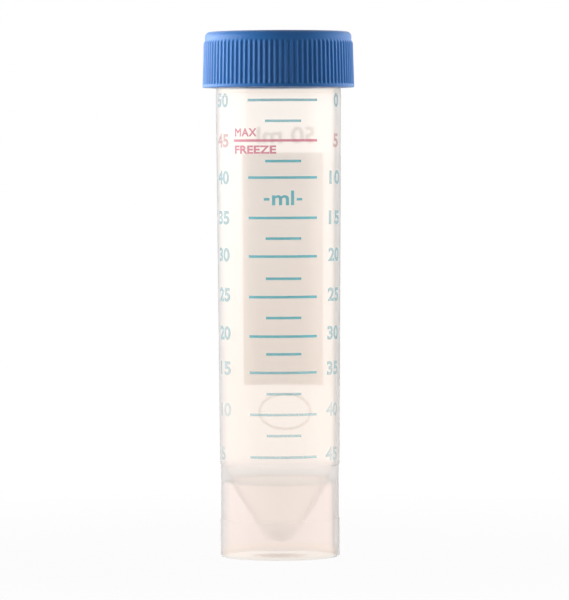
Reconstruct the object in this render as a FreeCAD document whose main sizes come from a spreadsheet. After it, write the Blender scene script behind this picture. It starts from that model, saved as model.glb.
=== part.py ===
"""Self-standing 50 ml conical tube with its screw cap.

The tube is one moulding: a drafted barrel that runs on down as a round skirt, a cone inside the
skirt, and a threaded neck. The cap is one moulding: a top panel, a ribbed skirt and a plug ring.
Millimetres, +Z up along the tube's axis, origin at the middle of the ring that the skirt stands on.
"""

import FreeCAD, Part
import os
import re
import Sketcher
from FreeCAD import Placement, Rotation, Vector

doc = FreeCAD.newDocument("conical_tube")

# ---------------------------------------------------------------------------------------------
# Sizes: the driving ones are numbers, and the rest are formulas on them
# ---------------------------------------------------------------------------------------------

DRIVING = {
    # Barrel and neck
    "rim_height": 118.2,
    "neck_height": 12.9,
    "collar_height": 2.0,
    "bore_low_radius": 12.85,
    "bore_draft": 0.4,
    "barrel_low_wall": 0.81,
    "barrel_top_wall": 1.05,
    "neck_wall": 0.8,
    "collar_rise": 0.17,
    "rim_chamfer": 0.25,
    # Cone
    "cone_half_angle": 32.3,
    "cone_wall": 1.0,
    "cone_blend": 3.0,
    "floor_height": 5.1,
    "floor_radius": 2.7,
    "floor_blend": 2.5,
    "tip_floor": 1.5,
    "tip_chamfer": 0.5,
    "gate_radius": 0.9,
    "gate_rise": 0.25,
    # Skirt
    "skirt_step": 0.21,
    "skirt_wall": 0.95,
    "junction_depth": 4.0,
    "hollow_blend": 1.5,
    "foot_band_height": 8.6,
    "foot_step": 0.15,
    "foot_chamfer": 0.25,
    "relief_height": 2.3,
    "relief_depth": 0.2,
    # Thread on the neck
    "thread_gap": 1.3,
    "thread_pitch": 3.2,
    "thread_turns": 1.5,
    "thread_rise": 0.9,
    "thread_sunk": 0.2,
    "thread_foot_width": 1.9,
    "thread_crest_width": 0.8,
    # Cap
    "cap_height": 12.75,
    "cap_panel": 1.5,
    "cap_wall": 1.69,
    "cap_draft": 0.2,
    "cap_round": 1.2,
    "cap_corner": 0.7,
    "cap_lead_in": 0.5,
    "cap_edge": 0.2,
    "thread_clearance": 0.25,
    "band_height": 0.55,
    # Plug ring under the panel
    "plug_depth": 2.6,
    "plug_wall": 1.0,
    "plug_taper": 0.25,
    "plug_clearance": 0.1,
    # Grip ribs
    "rib_count": 90,
    "rib_rise": 0.42,
    "rib_draft": 0.27,
    "rib_sunk": 0.4,
    "rib_foot_width": 0.78,
    "rib_crest_width": 0.34,
    "rib_top_gap": 2.0,
    "rib_end_slope": 0.6,
}

FOLLOWING = {
    # Tube
    "bore_top_radius": "bore_low_radius + bore_draft",
    "barrel_low_radius": "bore_low_radius + barrel_low_wall",
    "barrel_top_radius": "bore_top_radius + barrel_top_wall",
    "neck_radius": "bore_top_radius + neck_wall",
    "collar_radius": "neck_radius + collar_rise",
    "shoulder_height": "rim_height - neck_height",
    "collar_top": "shoulder_height + collar_height",
    "cone_slope": "tan(cone_half_angle * 1deg)",
    "cone_height": "floor_height + (bore_low_radius - floor_radius) / cone_slope",
    "cone_across": "cone_wall / cos(cone_half_angle * 1deg)",
    "hollow_height": "cone_height - junction_depth",
    "hollow_radius": "floor_radius + cone_across + (hollow_height - floor_height) * cone_slope",
    "tip_height": "floor_height - tip_floor",
    "tip_radius": "floor_radius + cone_across - tip_floor * cone_slope",
    "gate_low": "tip_height - gate_rise",
    "skirt_radius": "barrel_low_radius - skirt_step",
    "skirt_bore": "skirt_radius - skirt_wall",
    "foot_radius": "skirt_radius + foot_step",
    "relief_radius": "skirt_bore + relief_depth",
    # Thread
    "thread_radius": "neck_radius + thread_rise",
    "thread_root": "neck_radius - thread_sunk",
    "thread_low": "collar_top + thread_gap",
    "thread_high": "thread_low + thread_pitch * thread_turns",
    "thread_foot_half": "thread_foot_width / 2",
    "thread_crest_half": "thread_crest_width / 2",
    # Cap, seated on the rim
    "cap_under": "rim_height",
    "cap_top": "cap_under + cap_panel",
    "cap_low": "cap_top - cap_height",
    "band_top": "cap_low + band_height",
    "cap_bore": "thread_radius + thread_clearance",
    "root_low_radius": "cap_bore + cap_wall",
    "root_top_radius": "root_low_radius - cap_draft",
    "band_radius": "root_low_radius + rib_rise",
    "plug_radius": "bore_top_radius - plug_clearance",
    "plug_bore": "plug_radius - plug_wall",
    "plug_low": "cap_under - plug_depth",
    # Ribs
    "rib_root": "root_top_radius - rib_sunk",
    "rib_top": "cap_top - rib_top_gap",
    "rib_shoulder": "rib_top - rib_end_slope",
    "rib_shoulder_radius": "band_radius - rib_draft",
    "rib_end_radius": "root_top_radius + cap_draft * rib_top_gap / (cap_height - band_height)",
    "rib_foot_half": "rib_foot_width / 2",
    "rib_crest_half": "rib_crest_width / 2",
    "clear_radius": "band_radius + rib_rise",
}

sheet = doc.addObject("Spreadsheet::Sheet", "sizes")
cells = {alias: str(number) for alias, number in DRIVING.items()}
cells |= {alias: f"={formula}" for alias, formula in FOLLOWING.items()}
for row, (alias, content) in enumerate(cells.items(), start=1):
    sheet.set(f"A{row}", alias)
    sheet.set(f"B{row}", content)
    sheet.setAlias(f"B{row}", alias)
doc.recompute()


def on_sheet(formula):
    """The formula as another object has to write it, with the sheet's name before each alias."""
    return re.sub(r"[a-z]+(_[a-z]+)+", r"sizes.\g<0>", formula)


def size(formula):
    """The number that a formula gives now."""
    return float(sheet.evalExpression(on_sheet(formula)))


# ---------------------------------------------------------------------------------------------
# Helpers for sketches and features
# ---------------------------------------------------------------------------------------------


def new_sketch(body, name, role):
    """An empty sketch on one of the body's own planes."""
    plane = next(part for part in body.Origin.OriginFeatures if part.Role == role)
    sketch = body.newObject("Sketcher::SketchObject", name)
    sketch.AttachmentSupport = [(plane, "")]
    sketch.MapMode = "FlatFace"
    return sketch


def hold_corner(sketch, edge, name, across, up):
    """Holds the start of an edge at its two distances from the sketch's axes."""
    for kind, axis, formula in (("DistanceX", -2, across), ("DistanceY", -1, up)):
        if formula == "0":
            sketch.addConstraint(Sketcher.Constraint("PointOnObject", edge, 1, axis))
            continue
        datum = sketch.addConstraint(Sketcher.Constraint(kind, -1, 1, edge, 1, size(formula)))
        label = f"{name}_{kind[-1].lower()}"
        sketch.renameConstraint(datum, label)
        sketch.setExpression(f"Constraints.{label}", on_sheet(formula))


def outline(sketch, corners):
    """A closed outline of straight sides. Each corner has a name and two formulas."""
    points = [Vector(size(across), size(up), 0) for _, across, up in corners]
    for start, end in zip(points, points[1:] + points[:1]):
        sketch.addGeometry(Part.LineSegment(start, end), False)
    for edge, (name, across, up) in enumerate(corners):
        follower = (edge + 1) % len(corners)
        sketch.addConstraint(Sketcher.Constraint("Coincident", edge, 2, follower, 1))
        hold_corner(sketch, edge, name, across, up)


def half_section(body, name, corners):
    """An outline of radii and heights in the plane through the axis."""
    sketch = new_sketch(body, name, "XZ_Plane")
    outline(sketch, corners)
    return sketch


def turn(body, kind, name, sketch):
    """A full turn of a half section about the axis: a Revolution adds it, a Groove takes it away."""
    before = body.Shape.Volume if body.Tip else 0.0
    feature = body.newObject(f"PartDesign::{kind}", name)
    feature.Profile = sketch
    feature.ReferenceAxis = (sketch, ["V_Axis"])
    feature.Angle = 360
    doc.recompute()
    change = body.Shape.Volume - before
    if (change < 0) != (kind == "Groove"):
        raise RuntimeError(f"{name} doesn't change the solid as it should")


def rings(shape, places):
    """Names of the circular edges at these radii and heights."""
    names = []
    for across, up in places:
        radius, height = size(across), size(up)
        found = [
            f"Edge{number}"
            for number, edge in enumerate(shape.Edges, start=1)
            if isinstance(edge.Curve, Part.Circle)
            and abs(edge.Curve.Radius - radius) < 1e-4
            and abs(edge.Curve.Center.z - height) < 1e-4
        ]
        if not found:
            raise RuntimeError(f"no edge of radius {across} at height {up}")
        names += found
    return names


def dress(body, kind, name, width, *places):
    """A Fillet or a Chamfer of the circular edges at these radii and heights."""
    base = body.Tip
    feature = body.newObject(f"PartDesign::{kind}", name)
    feature.Base = (base, rings(base.Shape, places))
    feature.setExpression("Radius" if kind == "Fillet" else "Size", on_sheet(width))
    doc.recompute()


# ---------------------------------------------------------------------------------------------
# Tube: barrel, skirt, cone and threaded neck in one moulding
# ---------------------------------------------------------------------------------------------

tube = doc.addObject("PartDesign::Body", "tube")
tube.Label = "tube"

# Outside, from the foot up: a foot band, the skirt set in a little, the drafted barrel, a collar
# where the mould of the neck begins, and the neck
outside = half_section(
    tube,
    "outside_section",
    [
        ("middle_low", "0", "0"),
        ("foot", "foot_radius", "0"),
        ("foot_band", "foot_radius", "foot_band_height"),
        ("skirt_low", "skirt_radius", "foot_band_height + foot_step"),
        ("skirt_high", "skirt_radius", "cone_height - skirt_step"),
        ("barrel_low", "barrel_low_radius", "cone_height"),
        ("barrel_high", "barrel_top_radius", "shoulder_height"),
        ("collar_low", "collar_radius", "shoulder_height"),
        ("collar_high", "collar_radius", "collar_top"),
        ("neck_low", "neck_radius", "collar_top"),
        ("neck_high", "neck_radius", "rim_height"),
        ("middle_high", "0", "rim_height"),
    ],
)
turn(tube, "Revolution", "outside", outside)

# Inside: the drafted bore, the cone and its small flat floor
inside = half_section(
    tube,
    "inside_section",
    [
        ("floor_middle", "0", "floor_height"),
        ("floor_edge", "floor_radius", "floor_height"),
        ("cone_top", "bore_low_radius", "cone_height"),
        ("mouth", "bore_top_radius", "rim_height"),
        ("mouth_middle", "0", "rim_height"),
    ],
)
turn(tube, "Groove", "inside", inside)

# Hollow foot: the outside of the cone, which keeps the cone's wall even, down to the tip and the
# mark that the gate leaves there, and the skirt's inner wall with its relief at the foot
hollow = half_section(
    tube,
    "hollow_section",
    [
        ("gate_middle", "0", "gate_low"),
        ("gate_edge", "gate_radius", "gate_low"),
        ("gate_root", "gate_radius", "tip_height"),
        ("tip", "tip_radius", "tip_height"),
        ("hollow_inner", "hollow_radius", "hollow_height"),
        ("hollow_outer", "skirt_bore", "hollow_height"),
        ("skirt_wall_low", "skirt_bore", "relief_height"),
        ("relief_high", "relief_radius", "relief_height - relief_depth"),
        ("relief_low", "relief_radius", "0"),
        ("foot_middle", "0", "0"),
    ],
)
turn(tube, "Groove", "hollow", hollow)

dress(tube, "Fillet", "floor_round", "floor_blend", ("floor_radius", "floor_height"))
dress(tube, "Fillet", "cone_round", "cone_blend", ("bore_low_radius", "cone_height"))
dress(tube, "Fillet", "hollow_round", "hollow_blend", ("hollow_radius", "hollow_height"))
dress(tube, "Chamfer", "tip_bevel", "tip_chamfer", ("tip_radius", "tip_height"))
dress(tube, "Chamfer", "foot_bevel", "foot_chamfer", ("foot_radius", "0"))
dress(
    tube,
    "Chamfer",
    "rim_bevel",
    "rim_chamfer",
    ("neck_radius", "rim_height"),
    ("bore_top_radius", "rim_height"),
)

# Screw thread: a trapezoid wound about the neck, its foot sunk into the neck's wall
thread_section = half_section(
    tube,
    "thread_section",
    [
        ("sunk_low", "thread_root", "thread_low - thread_foot_half"),
        ("foot_low", "neck_radius", "thread_low - thread_foot_half"),
        ("crest_low", "thread_radius", "thread_low - thread_crest_half"),
        ("crest_high", "thread_radius", "thread_low + thread_crest_half"),
        ("foot_high", "neck_radius", "thread_low + thread_foot_half"),
        ("sunk_high", "thread_root", "thread_low + thread_foot_half"),
    ],
)
thread = tube.newObject("PartDesign::AdditiveHelix", "thread")
thread.Profile = thread_section
thread.ReferenceAxis = (thread_section, ["V_Axis"])
thread.Mode = "pitch-height-angle"
thread.setExpression("Pitch", on_sheet("thread_pitch"))
thread.setExpression("Height", on_sheet("thread_pitch * thread_turns"))
thread.LeftHanded = False
doc.recompute()


def thread_end(name, height, angle):
    """A blunt round end for the thread: half its section turned about a radial line."""
    sketch = new_sketch(tube, f"{name}_section", "XZ_Plane")
    sketch.AttachmentOffset = Placement(Vector(), Rotation(Vector(0, 1, 0), size(angle)))
    sketch.setExpression("AttachmentOffset.Rotation.Angle", on_sheet(angle))
    corners = [
        ("sunk_middle", "thread_root", height),
        ("crest_middle", "thread_radius", height),
        ("crest", "thread_radius", f"{height} + thread_crest_half"),
        ("foot", "neck_radius", f"{height} + thread_foot_half"),
        ("sunk", "thread_root", f"{height} + thread_foot_half"),
    ]
    outline(sketch, corners)
    end = tube.newObject("PartDesign::Revolution", name)
    end.Profile = sketch
    end.ReferenceAxis = (sketch, ["Edge1"])
    end.Angle = 360
    doc.recompute()


thread_end("thread_start", "thread_low", "0")
thread_end("thread_finish", "thread_high", "thread_turns * 360")

# ---------------------------------------------------------------------------------------------
# Cap: panel, ribbed skirt, bottom band and plug ring in one moulding
# ---------------------------------------------------------------------------------------------

cap = doc.addObject("PartDesign::Body", "cap")
cap.Label = "cap"

cap_section = half_section(
    cap,
    "cap_section",
    [
        ("under_middle", "0", "cap_under"),
        ("plug_inner_high", "plug_bore", "cap_under"),
        ("plug_inner_low", "plug_bore + plug_taper", "plug_low"),
        ("plug_outer_low", "plug_radius - plug_taper", "plug_low"),
        ("plug_outer_high", "plug_radius", "cap_under"),
        ("bore_high", "cap_bore", "cap_under"),
        ("bore_low", "cap_bore", "cap_low + cap_lead_in"),
        ("lead_in", "cap_bore + cap_lead_in", "cap_low"),
        ("band_foot", "band_radius", "cap_low"),
        ("band_head", "band_radius", "band_top"),
        ("root_foot", "root_low_radius", "band_top"),
        ("panel_edge", "root_top_radius", "cap_top"),
        ("panel_middle", "0", "cap_top"),
    ],
)
turn(cap, "Revolution", "shell", cap_section)
dress(cap, "Fillet", "panel_round", "cap_round", ("root_top_radius", "cap_top"))
dress(cap, "Chamfer", "corner_bevel", "cap_corner", ("cap_bore", "cap_under"))
dress(cap, "Chamfer", "band_bevel", "cap_edge", ("band_radius", "cap_low"))

# Grip ribs: one upright bar of trapezoid section that stands on the band, repeated round the cap
rib_section = new_sketch(cap, "rib_section", "XY_Plane")
rib_section.setExpression("AttachmentOffset.Base.z", on_sheet("band_top"))
outline(
    rib_section,
    [
        ("sunk_left", "rib_root", "-rib_foot_half"),
        ("foot_left", "root_low_radius", "-rib_foot_half"),
        ("crest_left", "band_radius", "-rib_crest_half"),
        ("crest_right", "band_radius", "rib_crest_half"),
        ("foot_right", "root_low_radius", "rib_foot_half"),
        ("sunk_right", "rib_root", "rib_foot_half"),
    ],
)
rib = cap.newObject("PartDesign::Pad", "rib")
rib.Profile = rib_section
rib.setExpression("Length", on_sheet("rib_top - band_top"))
doc.recompute()

ribs = cap.newObject("PartDesign::PolarPattern", "ribs")
ribs.Originals = [rib]
ribs.Axis = (rib_section, ["N_Axis"])
ribs.Angle = 360
ribs.setExpression("Occurrences", on_sheet("rib_count"))
cap.Tip = ribs
doc.recompute()

# The crests lean in with the cap's draft, and each rib's upper end slopes back to the wall
crests = half_section(
    cap,
    "crest_section",
    [
        ("crest_foot", "band_radius", "band_top"),
        ("crest_head", "rib_shoulder_radius", "rib_shoulder"),
        ("rib_end", "rib_end_radius", "rib_top"),
        ("clear_high", "clear_radius", "rib_top"),
        ("clear_low", "clear_radius", "band_top"),
    ],
)
turn(cap, "Groove", "crests", crests)

# ---------------------------------------------------------------------------------------------
# Checks and export
# ---------------------------------------------------------------------------------------------

for item in doc.Objects:
    if {"Invalid", "Error"} & set(item.State):
        raise RuntimeError(f"{item.Name} failed: {item.State}")
for body in (tube, cap):
    shape = body.Shape
    if shape.isNull() or not shape.isValid() or len(shape.Solids) != 1:
        raise RuntimeError(f"{body.Label} isn't one valid solid")

os.makedirs("parts", exist_ok=True)
for body in (tube, cap):
    body.Shape.exportStep(f"parts/{body.Label}.step")
    print(f"{body.Label}: {body.Shape.Volume / 1000:.3f} ml of plastic")
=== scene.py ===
import math

import bmesh
import bpy
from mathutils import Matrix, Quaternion, Vector
from mathutils.bvhtree import BVHTree


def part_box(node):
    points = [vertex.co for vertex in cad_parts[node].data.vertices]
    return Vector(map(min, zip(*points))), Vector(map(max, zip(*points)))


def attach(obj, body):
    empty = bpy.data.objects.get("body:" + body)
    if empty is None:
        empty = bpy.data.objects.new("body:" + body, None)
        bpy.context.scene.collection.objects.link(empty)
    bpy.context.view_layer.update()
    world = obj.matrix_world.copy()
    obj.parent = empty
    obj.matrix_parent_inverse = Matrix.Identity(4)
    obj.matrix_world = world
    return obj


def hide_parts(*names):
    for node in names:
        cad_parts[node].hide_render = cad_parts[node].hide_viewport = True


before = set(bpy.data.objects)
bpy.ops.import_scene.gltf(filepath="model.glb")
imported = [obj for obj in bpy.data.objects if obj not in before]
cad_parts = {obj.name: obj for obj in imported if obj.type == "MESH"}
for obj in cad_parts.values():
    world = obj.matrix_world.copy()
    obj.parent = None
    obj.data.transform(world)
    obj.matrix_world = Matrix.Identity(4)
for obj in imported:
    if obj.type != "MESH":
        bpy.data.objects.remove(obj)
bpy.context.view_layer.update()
scene = bpy.context.scene
scene.view_settings.view_transform = "Standard"

# ---------------------------------------------------------------- camera
# A long lens stands a metre in front of the printed scale, level with the upper part of the barrel
# and tipped down a little, so that the tube fills the height and the cap is seen from just below.
VIEW_DISTANCE = 1.0
VIEW_HEIGHT = 0.092
VIEW_ASIDE = 0.0012
AIM_HEIGHT = 0.0585
LENS = 262.8
ROLL = math.radians(-0.22)

camera = bpy.data.objects.new("camera", bpy.data.cameras.new("camera"))
camera.data.lens = LENS
camera.data.clip_start = 0.01
camera.data.clip_end = 20.0
camera.location = (VIEW_ASIDE, -VIEW_DISTANCE, VIEW_HEIGHT)
camera.rotation_mode = "QUATERNION"
look = Vector((VIEW_ASIDE, 0, AIM_HEIGHT)) - camera.location
camera.rotation_quaternion = look.to_track_quat("-Z", "Y") @ Quaternion((0, 0, 1), ROLL)
scene.collection.objects.link(camera)
scene.camera = camera

# ---------------------------------------------------------------- tube
# Barrel, cone, standing skirt and threaded neck are one moulding in natural polypropylene. The
# walls are about a millimetre thick, clear enough to see the far side, a little milky and warm.


class Wire:
    """One output of a material's nodes. Arithmetic on wires adds the nodes that work it out."""

    def __init__(self, tree, socket=None):
        self.tree = tree
        self.socket = socket

    def node(self, kind, settings=None, sockets=None, output=0):
        """Adds a node, sets it up, fills or links its sockets, and returns one of its outputs."""
        made = self.tree.nodes.new("ShaderNode" + kind)
        for name, value in (settings or {}).items():
            setattr(made, name, value)
        for name, value in (sockets or {}).items():
            if isinstance(value, Wire):
                self.tree.links.new(value.socket, made.inputs[name])
            else:
                made.inputs[name].default_value = value
        return Wire(self.tree, made.outputs[output] if made.outputs else None)

    def maths(self, operation, first, second):
        """Adds one Math node."""
        return self.node("Math", {"operation": operation}, {0: first, 1: second})

    def __add__(self, other):
        return self.maths("ADD", self, other)

    def __sub__(self, other):
        return self.maths("SUBTRACT", self, other)

    def __rsub__(self, other):
        return self.maths("SUBTRACT", other, self)

    def __mul__(self, other):
        return self.maths("MULTIPLY", self, other)

    __radd__ = __add__
    __rmul__ = __mul__


def new_material(name):
    """An empty material and a wire to start its nodes from."""
    material = bpy.data.materials.new(name)
    material.use_nodes = True
    material.node_tree.nodes.clear()
    return material, Wire(material.node_tree)


def place(start, x=1.0, y=1.0, z=1.0):
    """Places on the object in metres, scaled along each axis."""
    spot = start.node("TexCoord", output="Object")
    return start.node("VectorMath", {"operation": "MULTIPLY"}, {0: spot, 1: (x, y, z)})


def ramp(start, value, low, high):
    """From 0 where a value is low to 1 where it is high, smoothly."""
    steps = {"Value": value, "From Min": low, "From Max": high}
    return start.node("MapRange", {"interpolation_type": "SMOOTHSTEP"}, steps)


def height_from(start, low, high):
    """From 0 at one height to 1 at another, smoothly."""
    return ramp(start, start.node("SeparateXYZ", {}, {0: place(start)}, "Z"), low, high)


def across(start):
    """How far a place is to the right of the tube's axis."""
    return start.node("SeparateXYZ", {}, {0: place(start)}, "X")


def grain(start, where, scale, detail=2.0):
    """Soft noise about 0.5, at so many cells a metre."""
    return start.node("TexNoise", {}, {"Vector": where, "Scale": scale, "Detail": detail})


def blend(start, amount, first, second):
    """A colour between two others."""
    return start.node("Mix", {"data_type": "RGBA"}, {0: amount, 6: first, 7: second}, 2)


MM = 0.001

# heights, and one radius, between which one part of the moulding gives way to the next
FOOT_RING = (0.5 * MM, 0.9 * MM)
FOOT_BAND = (1.2 * MM, 2.4 * MM)
CONE_TIP = (6.8 * MM, 8.2 * MM)
JOINT_FOOT = (16.6 * MM, 17.1 * MM)
JOINT_MIDDLE = (17.9 * MM, 18.6 * MM)
JOINT_TOP = (20.5 * MM, 22.5 * MM)
BARREL_TAPER = (30 * MM, 100 * MM)
COLLAR_FOOT = (105.5 * MM, 105.7 * MM)
COLLAR_MIDDLE = (105.8 * MM, 106.0 * MM)
OUTSIDE = (11.9 * MM, 12.4 * MM)

polypropylene, start = new_material("natural polypropylene")
flow = grain(start, place(start, z=0.25), 260, 3)
draw_lines = grain(start, place(start, z=0.01), 500, 2)
reach = start.node("VectorMath", {"operation": "LENGTH"}, {0: place(start, z=0)}, "Value")
outer = ramp(start, reach, *OUTSIDE)
facing = start.node("LayerWeight", {}, {"Blend": 0.5}, "Facing")

# the thin walls: a warm barrel over a pinker skirt, and a cone that is greyer where it turns away
upward = height_from(start, *BARREL_TAPER)
barrel = blend(start, upward, (0.992, 0.944, 0.903, 1), (1.0, 0.968, 0.936, 1))
shell = blend(start, height_from(start, *JOINT_TOP), (0.977, 0.912, 0.883, 1), barrel)
turned_away = ramp(start, facing, 0.25, 0.9)
slanted = blend(start, turned_away, (0.99, 0.99, 0.978, 1), (0.93, 0.93, 0.925, 1))
cone = blend(start, 1 - height_from(start, *CONE_TIP), slanted, (0.95, 0.955, 0.95, 1))
tint = blend(start, outer, cone, shell)

# the thick places, which are milkier where the cone joins, at the collar and at the foot band; the
# joint and the collar are also darker as painted shade, in the crease and under the cap
joint_milk_and_shade = height_from(start, *JOINT_FOOT) * (1 - 0.54 * height_from(start, *JOINT_MIDDLE))
joint_milk_and_shade = joint_milk_and_shade * (1 - height_from(start, *JOINT_TOP))
collar_milk_and_shade = height_from(start, *COLLAR_FOOT) * (1 - 0.6 * height_from(start, *COLLAR_MIDDLE))
milky_and_shaded = blend(start, joint_milk_and_shade, tint, (0.91, 0.88, 0.855, 1))
milky_and_shaded = blend(start, collar_milk_and_shade, milky_and_shaded, (0.96, 0.90, 0.84, 1))
milky_and_shaded = blend(start, 1 - height_from(start, *FOOT_BAND), milky_and_shaded, (0.965, 0.875, 0.80, 1))
# the foot's lowest rim is darker, a painted shade where it stands on the floor
foot_contact_shade = blend(start, 1 - height_from(start, *FOOT_RING), milky_and_shaded, (0.885, 0.835, 0.79, 1))
clear = blend(start, flow * 0.15, foot_contact_shade, (1, 0.97, 0.95, 1))

# seen edge-on, the outside has more plastic behind it and goes grey; to the right it is greyer
# still, a painted shade
edge_on = ramp(start, facing, 0.5, 0.95) * outer
shaded_to_right = ramp(start, across(start), -13 * MM, 0.0)
limb_grey_and_shade = blend(start, shaded_to_right, (0.75, 0.73, 0.73, 1), (0.5, 0.5, 0.5, 1))
fine_lines = {"Strength": 0.1, "Distance": 0.01 * MM, "Height": draw_lines}
wall = start.node(
    "BsdfPrincipled",
    {},
    {
        "Base Color": blend(start, edge_on, clear, limb_grey_and_shade),
        "Roughness": 0.28 + 0.04 * flow,
        "IOR": 1.03,
        "Coat Weight": 0.3,
        "Coat Roughness": 0.15,
        "Transmission Weight": 0.97,
        "Normal": start.node("Bump", {}, fine_lines),
    },
)
lit_through = start.node("BsdfTransparent", {}, {"Color": (0.97, 0.95, 0.93, 1)})
shadow_ray = start.node("LightPath", output="Is Shadow Ray")
seen = start.node("MixShader", {}, {0: shadow_ray * 0.9, 1: wall, 2: lit_through})
inside = start.node("VolumeAbsorption", {}, {"Color": (0.6, 0.58, 0.56, 1), "Density": 40.0})
start.node("OutputMaterial", {}, {"Surface": seen, "Volume": inside})

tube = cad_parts["tube"]
tube.material_slots[0].material = polypropylene

# ---------------------------------------------------------------- scale
# Fine lines, long at every five, and numbers up each side are printed on the barrel in one pass of
# blue-green ink. The ink is a few hundredths of a millimetre thick and thins towards the foot.
INK_LIFT = 0.03 * MM
ARC_STEP = 0.4 * MM
BARREL_RADIUS = 14.1 * MM

printed_wall = BVHTree.FromObject(tube, bpy.context.evaluated_depsgraph_get())


def on_wall(turn, height):
    """The place of ink on the tube's outside, turned to the right from the tube's front."""
    out = Vector((math.sin(turn), -math.cos(turn), 0))
    wall_spot = printed_wall.ray_cast(out * 2 * BARREL_RADIUS + Vector((0, 0, height)), -out)[0]
    return wall_spot + out * INK_LIFT


def bent(flat, degrees, height):
    """Bends a flat shape round the tube, its middle turned so far from the front."""
    left, right = (pick(v.co.x for v in flat.verts) for pick in (min, max))
    for i in range(1, math.ceil((right - left) / ARC_STEP)):
        everything = flat.verts[:] + flat.edges[:] + flat.faces[:]
        cut = (left + i * ARC_STEP, 0, 0)
        bmesh.ops.bisect_plane(flat, geom=everything, plane_co=cut, plane_no=(1, 0, 0))
    for v in flat.verts:
        v.co = on_wall(math.radians(degrees) + v.co.x / BARREL_RADIUS, height + v.co.y)
    return flat


def bar(width, height):
    """A flat bar about its own middle."""
    flat = bmesh.new()
    corners = [(-1, -1), (1, -1), (1, 1), (-1, 1)]
    flat.faces.new([flat.verts.new((x * width / 2, y * height / 2, 0)) for x, y in corners])
    return flat


SHORTEST_SIDE = 0.035 * MM
BLUNTEST_CORNER = 0.4


def thicken(flat, weight):
    """Moves a flat shape's outline outwards all round and fills it again. Sides too short to move
    are closed up first, and a sharp corner is kept from running out to a spike."""
    bmesh.ops.remove_doubles(flat, verts=flat.verts[:], dist=SHORTEST_SIDE)
    moves = []
    within = [edge for edge in flat.edges if not edge.is_boundary]
    for v in flat.verts:
        sides = []
        for edge in v.link_edges:
            if edge.is_boundary:
                first = edge.link_loops[0]
                run = first.link_loop_next.vert.co - first.vert.co
                sides.append(Vector((run.y, -run.x, 0)).normalized())
        if len(sides) == 2:
            corner_width = max(BLUNTEST_CORNER, 1 + sides[0].dot(sides[1]))
            moves.append((v, (sides[0] + sides[1]) * weight / corner_width))
    for v, move in moves:
        v.co += move
    bmesh.ops.delete(flat, geom=flat.faces[:], context="FACES_ONLY")
    bmesh.ops.delete(flat, geom=within, context="EDGES")
    bmesh.ops.triangle_fill(flat, use_beauty=True, normal=(0, 0, 1), edges=flat.edges[:])


def lettering(words, width, height, weight, spacing=1.0):
    """Flat lettering about its own middle, thickened and made to fit a width and height."""
    curve = bpy.data.curves.new("lettering", "FONT")
    curve.body = words
    curve.resolution_u = 6
    curve.space_character = spacing
    letters = bpy.data.objects.new("lettering", curve)
    scene.collection.objects.link(letters)
    evaluated = letters.evaluated_get(bpy.context.evaluated_depsgraph_get())
    mesh = bpy.data.meshes.new_from_object(evaluated)
    bpy.data.objects.remove(letters)
    flat = bmesh.new()
    flat.from_mesh(mesh)
    bpy.data.meshes.remove(mesh)
    for axis, size in ((0, width), (1, height)):
        places = [v.co[axis] for v in flat.verts]
        low, high = min(places), max(places)
        for v in flat.verts:
            v.co[axis] = (v.co[axis] - (low + high) / 2) * (size - 2 * weight) / (high - low)
    thicken(flat, weight)
    return flat


def piece_of(name, parts, material, body):
    """Joins meshes into one piece that moves with a body."""
    mesh = bpy.data.meshes.new(name)
    whole = bmesh.new()
    for part in parts:
        part.to_mesh(mesh)
        whole.from_mesh(mesh)
        part.free()
    whole.to_mesh(mesh)
    whole.free()
    mesh.materials.append(material)
    piece = bpy.data.objects.new(name, mesh)
    scene.collection.objects.link(piece)
    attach(piece, body)
    return piece


def ink(name, pale, dark, shaded_colour, shaded_where, cover, through=0.5):
    """A thin printed ink, patchy between a pale and a dark colour, and painted in a darker colour,
    as shade, where the shade mask says. It covers the wall under it by the share that cover says,
    and lets a share of the light through."""
    material, start = new_material(name)
    patchy = grain(start, place(start), 2200, 3)
    shaded_share = shaded_where(start)
    shade = blend(start, shaded_share, blend(start, patchy, (*dark, 1), (*pale, 1)), (*shaded_colour, 1))
    front = start.node("BsdfPrincipled", {}, {"Base Color": shade, "Roughness": 0.5 + 0.1 * patchy})
    bright = start.node("BsdfTranslucent", {}, {"Color": (*pale, 1)})
    shaded_through = start.node("BsdfTranslucent", {}, {"Color": (*shaded_colour, 1)})
    behind = start.node("MixShader", {}, {0: shaded_share, 1: bright, 2: shaded_through})
    layer = start.node("MixShader", {}, {0: through, 1: front, 2: behind})
    gaps = start.node("BsdfTransparent")
    film = start.node("MixShader", {}, {0: cover(start) + 0.15 * (patchy - 0.5), 1: gaps, 2: layer})
    start.node("OutputMaterial", {}, {"Surface": film})
    return material


def aside(start):
    """1 at the tube's two sides, where the ink is painted darker, as shade, and made thinner."""
    off_axis = start.node("Math", {"operation": "ABSOLUTE"}, {0: across(start)})
    return ramp(start, off_axis, 10.3 * MM, 11.5 * MM)


# height in millimetres of the line that marks each volume in millilitres
HEIGHT_OF = {
    50: 104.0, 47.5: 99.3, 45: 94.9, 42.5: 90.25, 40: 86.55, 37.5: 81.95, 35: 77.45, 32.5: 72.8,
    30: 68.75, 27.5: 63.75, 25: 59.6, 22.5: 54.9, 20: 50.7, 17.5: 46.7, 15: 42.5, 12.5: 37.7,
    10: 33.0, 7.5: 28.25, 5: 23.35,
}
LINE = 0.58 * MM
LONG_LINE = 16.4 * MM
SHORT_LINE = 8.2 * MM
SCALE_TURN = 4.3
DIGIT_WIDTH = 2.75 * MM
DIGIT_GAP = 0.25 * MM
DIGIT_HEIGHT = 3.15 * MM
DIGIT_WEIGHT = 0.15 * MM
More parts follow.
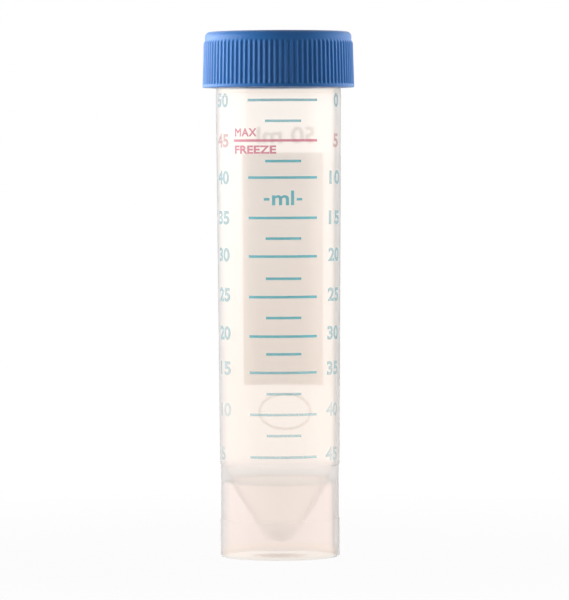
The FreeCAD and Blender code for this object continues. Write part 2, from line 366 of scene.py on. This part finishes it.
# how far the lower numbers stand above their lines, in millimetres
NUMBER_RISE = {30: 0.3, 25: 0.4, 20: 0.6, 15: 0.8, 10: 0.9, 5: 0.45}
FALLING_TURN = -63.4
RISING_TURN = 66.0
RISING_LEAN = 6.0
COLUMN_TOP = 104 * MM
COLUMN_LENGTH = 81 * MM


def number(value, degrees, height):
    """A printed number."""
    words = str(value)
    width = len(words) * DIGIT_WIDTH - DIGIT_GAP
    return bent(lettering(words, width, DIGIT_HEIGHT, DIGIT_WEIGHT), degrees, height)


def both_numbers(volume):
    """A line's two numbers: on the left the volume, with first digits in one column, and on the
    right what is left of 50, in a column that stands a little off plumb."""
    height = (HEIGHT_OF[volume] + NUMBER_RISE.get(volume, 0)) * MM
    missing_digits = 2 - len(str(volume))
    left = FALLING_TURN - missing_digits * math.degrees(DIGIT_WIDTH / 2 / BARREL_RADIUS)
    right = RISING_TURN - RISING_LEAN * (COLUMN_TOP - height) / COLUMN_LENGTH
    return [number(volume, left, height), number(50 - volume, right, height)]


LIMIT_VOLUME = 45
UNIT_VOLUME = 37.5

printed = []
for volume, height in HEIGHT_OF.items():
    if volume not in (LIMIT_VOLUME, UNIT_VOLUME):
        length = SHORT_LINE if volume % 5 else LONG_LINE
        printed.append(bent(bar(length, LINE), SCALE_TURN, height * MM))
    if volume % 5 == 0 and volume != LIMIT_VOLUME:
        printed.extend(both_numbers(volume))

# the unit takes the place of one short line, between two dashes
UNIT_TURN = SCALE_TURN - 0.3
UNIT_HEIGHT = HEIGHT_OF[UNIT_VOLUME] * MM
DASH_TURN = 15.2
DASH_DROP = 0.3 * MM
printed.append(bent(lettering("ml", 5.0 * MM, 3.3 * MM, 0.11 * MM), UNIT_TURN, UNIT_HEIGHT))
for side in (-1, 1):
    dash = bar(1.3 * MM, LINE)
    printed.append(bent(dash, UNIT_TURN + side * DASH_TURN, UNIT_HEIGHT - DASH_DROP))


def scale_cover(start):
    """The scale's ink is thinnest near the foot and thinner at the sides; near the top it is made a
    little thinner too, painted lighter against the shade under the cap.
    """
    full_height = 0.49 + 0.43 * height_from(start, 33 * MM, 50 * MM)
    painted_light_top = 0.18 * height_from(start, 94 * MM, 98 * MM) * (1 - aside(start))
    return full_height * (1 - 0.45 * aside(start)) - painted_light_top


# the third blue is a painted shade, for the ink at the tube's sides
pale_blue, dark_blue, shaded_blue = (0.13, 0.47, 0.56), (0.08, 0.38, 0.45), (0.03, 0.29, 0.37)
scale_ink = ink("blue-green scale ink", pale_blue, dark_blue, shaded_blue, aside, scale_cover)
piece_of("scale_print", printed, scale_ink, "tube")

# ---------------------------------------------------------------- fill limit
# A second pass of red ink marks how full the tube may be before it is frozen: a line across the
# scale at 45 with its words to the left, and the two numbers beside it.
LIMIT_HEIGHT = HEIGHT_OF[LIMIT_VOLUME] * MM
LIMIT_LINE = 20.4 * MM
LIMIT_TURN = -3.8
WORD_HEIGHT = 1.85 * MM
UPPER_WORD = LIMIT_HEIGHT + 1.85 * MM
LOWER_WORD = LIMIT_HEIGHT - 2.05 * MM

printed = [
    bent(bar(LIMIT_LINE, LINE), LIMIT_TURN, LIMIT_HEIGHT),
    bent(lettering("MAX", 5.7 * MM, WORD_HEIGHT, 0.07 * MM, spacing=1.12), -32, UPPER_WORD),
    bent(lettering("FREEZE", 10.3 * MM, WORD_HEIGHT, 0.1 * MM), -23, LOWER_WORD),
    *both_numbers(LIMIT_VOLUME),
]


def limit_cover(start):
    """The limit's ink is even, and thinner only at the sides."""
    return 0.85 * (1 - 0.45 * aside(start))


# the third red is a painted shade, for the ink at the tube's sides
pale_red, dark_red, shaded_red = (0.64, 0.20, 0.30), (0.52, 0.15, 0.23), (0.34, 0.07, 0.10)
limit_ink = ink("red limit ink", pale_red, dark_red, shaded_red, aside, limit_cover)
piece_of("limit_print", printed, limit_ink, "tube")

# ---------------------------------------------------------------- writing patch
# A block of white matt ink on the far side takes pencil and marker. Above it stands the tube's
# volume in plain figures, and below it a plain oval ring, printed in the same white pass.
PATCH_TURN = 175.2
PATCH_WIDTH, PATCH_HEIGHT, PATCH_MIDDLE = 20.6 * MM, 53.7 * MM, 65.3 * MM


def oval(width, height, line):
    """A flat oval ring about its own middle."""
    flat = bmesh.new()
    steps = 96
    turns = [math.tau * i / steps for i in range(steps)]
    rings = []
    for shrink in (0, line):
        half_width, half_height = width / 2 - shrink, height / 2 - shrink
        spots = [(half_width * math.cos(t), half_height * math.sin(t), 0) for t in turns]
        rings.append([flat.verts.new(spot) for spot in spots])
    outside, inside_line = rings
    for i in range(steps):
        j = (i + 1) % steps
        flat.faces.new((outside[i], outside[j], inside_line[j], inside_line[i]))
    return flat


printed = [
    bent(bar(PATCH_WIDTH, PATCH_HEIGHT), PATCH_TURN, PATCH_MIDDLE),
    bent(lettering("50 ml", 14.2 * MM, 3.9 * MM, 0.16 * MM), 172, 96.2 * MM),
    bent(oval(13.0 * MM, 8.6 * MM, 0.5 * MM), 174.5, 32.2 * MM),
]


def rubbed(start):
    """The white ink is painted darker towards its right-hand half, as shade."""
    return ramp(start, across(start), -2 * MM, 11 * MM)


def white_cover(start):
    """The white ink is even all over."""
    return 0.6


# the third white is a painted shade, for the right-hand half of the patch
pale_white, dark_white, shaded_white = (0.71, 0.69, 0.685), (0.65, 0.63, 0.625), (0.55, 0.53, 0.53)
white_ink = ink(
    "white writing ink", pale_white, dark_white, shaded_white, rubbed, white_cover, through=0.12
)
piece_of("writing_patch", printed, white_ink, "tube")

# ---------------------------------------------------------------- cap
# The cap is one moulding in opaque blue polyethylene: a flat panel with a rounded corner, a skirt
# with ninety fine grip ribs over a plain band, a bore and a ring that plugs the tube's mouth.
RIBS = 90
RIB_COLUMNS = [column / 10 - 0.45 for column in range(10)]
cap_low, cap_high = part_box("cap")
FOOT, TOP = cap_low.z, cap_high.z
BAND_RADIUS = cap_high.x - 0.01 * MM


def smooth(low, high, value):
    """From 0 at low to 1 at high, eased at both ends."""
    share = min(1.0, max(0.0, (value - low) / (high - low)))
    return share * share * (3 - 2 * share)


def rounded(centre_r, centre_z, radius, first, last, steps):
    """Points of a rounded corner, from one angle to another in degrees."""
    angles = [math.radians(first + (last - first) * i / steps) for i in range(steps + 1)]
    return [(centre_r + radius * math.cos(a), centre_z + radius * math.sin(a), 0.0) for a in angles]


# radii, roundings and heights of the cap's form, CENTRE being the radius of its innermost rings
EDGE = 0.22 * MM
CORNER = 1.2 * MM
BORE = 15.2 * MM
ROOT_LOW, ROOT_HIGH = 16.89 * MM, 16.69 * MM
CREST_HIGH = 17.04 * MM
BAND_TOP = FOOT + 0.55 * MM
RIB_TOP = TOP - 2.6 * MM
UNDER = TOP - 1.5 * MM
PLUG_OUT, PLUG_IN, PLUG_FOOT = 13.15 * MM, 12.15 * MM, 115.6 * MM
PLUG_ROUND = 0.3 * MM
DIMPLE, DIMPLE_FLOOR = 1.4 * MM, TOP - 0.12 * MM
CENTRE = 0.2 * MM


def wall_at(z):
    """The skirt's outside between the ribs, with its draft and the small fillet on the band."""
    root = ROOT_LOW + (ROOT_HIGH - ROOT_LOW) * (z - BAND_TOP) / (RIB_TOP - BAND_TOP)
    return root + (BAND_RADIUS - root) * (1 - smooth(BAND_TOP, BAND_TOP + 0.5 * MM, z))


def rise_at(z):
    """How far a rib's crest stands off the skirt's outside."""
    crest = BAND_RADIUS + (CREST_HIGH - BAND_RADIUS) * (z - BAND_TOP) / (RIB_TOP - BAND_TOP)
    return max(0.0, crest - wall_at(z)) * (1 - smooth(RIB_TOP - 0.1 * MM, RIB_TOP + 0.7 * MM, z))


# Rings of the turned form, each a radius, a height and the rise of the ribs there. They go from the
# middle of the panel's underside, round the plug ring, the bore and the skirt, to the middle of its
# top. Rings in millimetres above the band carry the ribs, closest together where the form turns.
rib_rows = [0, 0.1, 0.2, 0.3, 0.4, 0.55, 0.8, 5.0, 9.1, 9.5, 9.7, 9.9, 10.1, 10.3]
section = [(CENTRE, UNDER, 0), (PLUG_IN - 2 * PLUG_ROUND, UNDER, 0)]
section += [(PLUG_IN - PLUG_ROUND, UNDER, 0), (PLUG_IN, UNDER - PLUG_ROUND, 0)]
section += rounded(PLUG_IN + PLUG_ROUND, PLUG_FOOT + PLUG_ROUND, PLUG_ROUND, 180, 270, 4)
section += rounded(PLUG_OUT - PLUG_ROUND, PLUG_FOOT + PLUG_ROUND, PLUG_ROUND, 270, 360, 4)
section += [(PLUG_OUT, UNDER, 0), (BORE, UNDER, 0), (BORE, FOOT + 0.5 * MM, 0)]
section += [(BORE + 0.35 * MM, FOOT + 0.15 * MM, 0)]
section += rounded(BORE + 0.6 * MM, FOOT + 0.15 * MM, 0.15 * MM, 215, 270, 2)
section += rounded(BAND_RADIUS - EDGE, FOOT + EDGE, EDGE, 270, 360, 4)
section += [(wall_at(z), z, rise_at(z)) for z in (BAND_TOP + r * MM for r in rib_rows)]
section += rounded(ROOT_HIGH - CORNER, TOP - CORNER, CORNER, 0, 90, 8)
section += [(ROOT_HIGH - CORNER - 0.15 * MM, TOP, 0), (9 * MM, TOP, 0)]
section += [(DIMPLE + 0.1 * MM, TOP, 0), (DIMPLE, TOP, 0)]
section += [(DIMPLE - 0.05 * MM, TOP - 0.02 * MM, 0), (DIMPLE - 0.15 * MM, TOP - 0.1 * MM, 0)]
section += [(DIMPLE - 0.2 * MM, DIMPLE_FLOOR, 0), (DIMPLE - 0.3 * MM, DIMPLE_FLOOR, 0)]
section += [(CENTRE, DIMPLE_FLOOR, 0)]

turned = bmesh.new()
rows = []
for radius, z, rise in section:
    row = []
    for rib in range(RIBS):
        for column in RIB_COLUMNS:
            turn = math.tau * (rib + column) / RIBS
            r = radius + rise * (0.25 + 0.375 * (1 + math.cos(math.tau * column)))
            row.append(turned.verts.new((r * math.cos(turn), r * math.sin(turn), z)))
    rows.append(row)
columns = len(rows[0])
for below, above in zip(rows, rows[1:]):
    for i in range(columns):
        j = (i + 1) % columns
        turned.faces.new((below[i], below[j], above[j], above[i]))
turned.faces.new(rows[0][::-1])
turned.faces.new(rows[-1])
bmesh.ops.recalc_face_normals(turned, faces=turned.faces)

# The cap's own thread is one ridge wound inside the bore, half a pitch below the neck's thread. Its
# first and last turns are in degrees, and it fades out over THREAD_FADE degrees at each end.
PITCH = 3.2 * MM
THREAD_FOOT = 108.34 * MM
THREAD_FIRST, THREAD_LAST = 150, 640
THREAD_STEP = 5
THREAD_CREST = 14.3 * MM
THREAD_FADE = 25.0

ridge = bmesh.new()
rings = []
for degrees in range(THREAD_FIRST, THREAD_LAST + 1, THREAD_STEP):
    turn = math.radians(degrees)
    z = THREAD_FOOT + PITCH * (degrees - THREAD_FIRST) / 360
    ends = min(degrees - THREAD_FIRST, THREAD_LAST - degrees) / THREAD_FADE
    crest = BORE + (THREAD_CREST - BORE) * smooth(-0.3, 1, ends)
    profile = [(BORE + 0.1 * MM, -0.85), (BORE, -0.75), (crest + 0.1 * MM, -0.32), (crest, -0.2)]
    profile += [(r, -half) for r, half in reversed(profile)]
    ring = [(r * math.cos(turn), r * math.sin(turn), z + half * MM) for r, half in profile]
    rings.append([ridge.verts.new(spot) for spot in ring])
for here, there in zip(rings, rings[1:]):
    for i in range(len(here)):
        j = (i + 1) % len(here)
        ridge.faces.new((here[i], here[j], there[j], there[i]))
ridge.faces.new(rings[0][::-1])
ridge.faces.new(rings[-1])
bmesh.ops.recalc_face_normals(ridge, faces=ridge.faces)
for face in turned.faces[:] + ridge.faces[:]:
    face.smooth = len(face.verts) == 4

polyethylene, start = new_material("blue polyethylene")
tone = grain(start, place(start, z=0.4), 500, 3)
skin = grain(start, place(start), 9000, 2)
finish = {
    "Base Color": blend(start, tone, (0.0185, 0.153, 0.46, 1), (0.024, 0.168, 0.50, 1)),
    "Roughness": 0.38 + 0.12 * tone,
    "IOR": 1.51,
    "Specular IOR Level": 0.25,
    "Sheen Weight": 0.34,
    "Sheen Roughness": 0.5,
    "Normal": start.node("Bump", {}, {"Strength": 0.2, "Distance": 0.02 * MM, "Height": skin}),
}
start.node("OutputMaterial", {}, {"Surface": start.node("BsdfPrincipled", {}, finish)})
cap_body = piece_of("cap_body", [turned, ridge], polyethylene, "cap")
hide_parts("cap")

# ---------------------------------------------------------------- floor and light
# The tube stands on a plain white floor in a plain white room, dim in front of it. Light comes from
# behind, from a bright window on the left and from two soft lamps, the right one stronger.
EYE_RAYS = ("Camera", "Glossy", "Transmission")
WITHIN_FOOT = (3.5 * MM, 7.5 * MM)
NEAR, FAR = 60 * MM, 200 * MM


def to_eye(start, kinds):
    """1 for rays of these kinds, which carry what the camera sees, else 0."""
    rays = [start.node("LightPath", output=f"Is {kind} Ray") for kind in kinds]
    total = rays[0]
    for ray in rays[1:]:
        total = total + ray
    return start.node("Clamp", {}, {"Value": total})


# The eye sees the floor as plain white with a trace of the tube's shadow, which fades out far from
# it. Only inside the hollow foot does the paint itself show, in shade.
floor_paint, start = new_material("white floor")
spread = start.node("VectorMath", {"operation": "LENGTH"}, {0: place(start)}, "Value")
beside = ramp(start, spread, *WITHIN_FOOT)
away = start.node("MapRange", {}, {"Value": spread, "From Min": NEAR, "From Max": FAR})
paint = start.node("BsdfDiffuse", {}, {"Color": (0.62, 0.62, 0.62, 1)})
plain_white = start.node("Emission", {}, {"Strength": 1.0})
share = to_eye(start, EYE_RAYS) * (0.12 + 0.83 * beside + 0.05 * away)
surface = start.node("MixShader", {}, {0: share, 1: paint, 2: plain_white})
start.node("OutputMaterial", {}, {"Surface": surface})

sheet = bmesh.new()
bmesh.ops.create_circle(sheet, cap_ends=True, segments=96, radius=2)
mesh = bpy.data.meshes.new("floor")
sheet.to_mesh(mesh)
sheet.free()
mesh.materials.append(floor_paint)
floor = bpy.data.objects.new("floor", mesh)
scene.collection.objects.link(floor)

room = bpy.data.worlds.new("room")
scene.world = room
room.use_nodes = True
room.node_tree.nodes.clear()
start = Wire(room.node_tree)
way = start.node("TexCoord", output="Generated")


def along(axis, low, high):
    """From 0 to 1 as the way a ray goes turns along an axis."""
    return ramp(start, start.node("SeparateXYZ", {}, {0: way}, axis), low, high)


def toward(direction, low, high):
    """From 0 to 1 as the way a ray goes comes nearer to a direction."""
    cosine = start.node("VectorMath", {"operation": "DOT_PRODUCT"}, {0: way, 1: direction}, "Value")
    return ramp(start, cosine, low, high)


def background(strength):
    """Plain white light of one strength."""
    return start.node("Background", {}, {"Color": (1, 1, 1, 1), "Strength": strength})


# the room's walls, brightest behind the tube and dim towards the ceiling, but white to the eye
backdrop = 0.03 + 0.7 * along("Y", -0.5, 0.9)
under_ceiling = 1 - 0.92 * along("Z", 0.05, 0.55)
bright = start.node(
    "Math", {"operation": "MAXIMUM"}, {0: backdrop * under_ceiling, 1: to_eye(start, EYE_RAYS)}
)
walls = start.node("MixShader", {}, {0: bright, 1: background(0.03), 2: background(1.0)})

# the window on the left, which stops above the tube, can't be seen and hardly shows in gloss
WINDOW = (-0.962, 0.258, 0.087)
window = toward(WINDOW, 0.6, 0.9) * (1 - along("Z", 0.12, 0.35))
window = window * (1 - to_eye(start, ("Camera", "Transmission")))
window = window * (1 - 0.8 * to_eye(start, ("Glossy",)))
level = start.node("MixShader", {}, {0: window, 1: walls, 2: background(11.0)})
start.node("OutputWorld", {}, {"Surface": level})


SOFTBOX_WIDTH, SOFTBOX_HEIGHT = 1.6, 0.46
MIDDLE = Vector((0, 0, 60 * MM))


def softbox(name, location, power):
    """A large soft lamp turned to the tube's middle."""
    lamp = bpy.data.lights.new(name, "AREA")
    lamp.shape = "RECTANGLE"
    lamp.size = SOFTBOX_WIDTH
    lamp.size_y = SOFTBOX_HEIGHT
    lamp.energy = power
    box = bpy.data.objects.new(name, lamp)
    box.location = location
    box.rotation_mode = "QUATERNION"
    box.rotation_quaternion = (MIDDLE - box.location).to_track_quat("-Z", "Y")
    box.visible_camera = False
    box.visible_glossy = False
    box.visible_transmission = False
    scene.collection.objects.link(box)


softbox("left_softbox", (-1.0, 0.2, 0.24), 12)
softbox("right_softbox", (0.92, 0.42, 0.24), 18)
